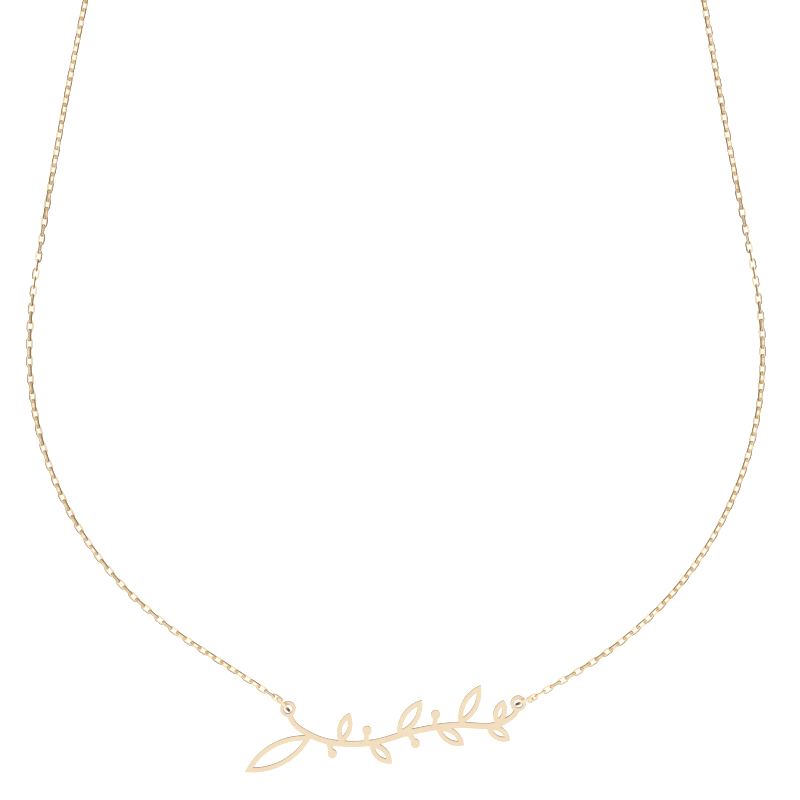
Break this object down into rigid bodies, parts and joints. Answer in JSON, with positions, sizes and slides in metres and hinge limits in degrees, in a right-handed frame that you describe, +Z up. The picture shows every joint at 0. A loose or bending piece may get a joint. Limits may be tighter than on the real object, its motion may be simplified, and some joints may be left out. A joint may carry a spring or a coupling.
{
  "type": "nameplate necklace",
  "caption": "Fine gold necklace lying as a closed loop: a cut-out leaf sprig plate hung by jump rings from a thin cable chain with a spring ring clasp.",
  "frame": {"origin": "on the surface that the necklace lies on, under the middle of its box", "axes": "+Z up from the surface; +Y from the plate at the front to the clasp at the back; +X to the wearer's left, which is the right of the picture"},
  "size_m": [0.1121, 0.1582, 0.003],
  "materials": {
    "plate_gold": "polished pale yellow gold sheet with very fine polishing lines and sharp cut edges",
    "wire_gold": "bright drawn pale yellow gold wire"
  },
  "bodies": {
    "root": {"leaf_sprig_plate": "plate_gold", "jump_ring_left": "wire_gold", "jump_ring_right": "wire_gold", "chain_left": "wire_gold", "chain_right": "wire_gold", "back_chain_left": "wire_gold", "back_chain_right": "wire_gold", "spring_ring_clasp": "wire_gold", "end_ring": "wire_gold"}
  },
  "joints": []
}
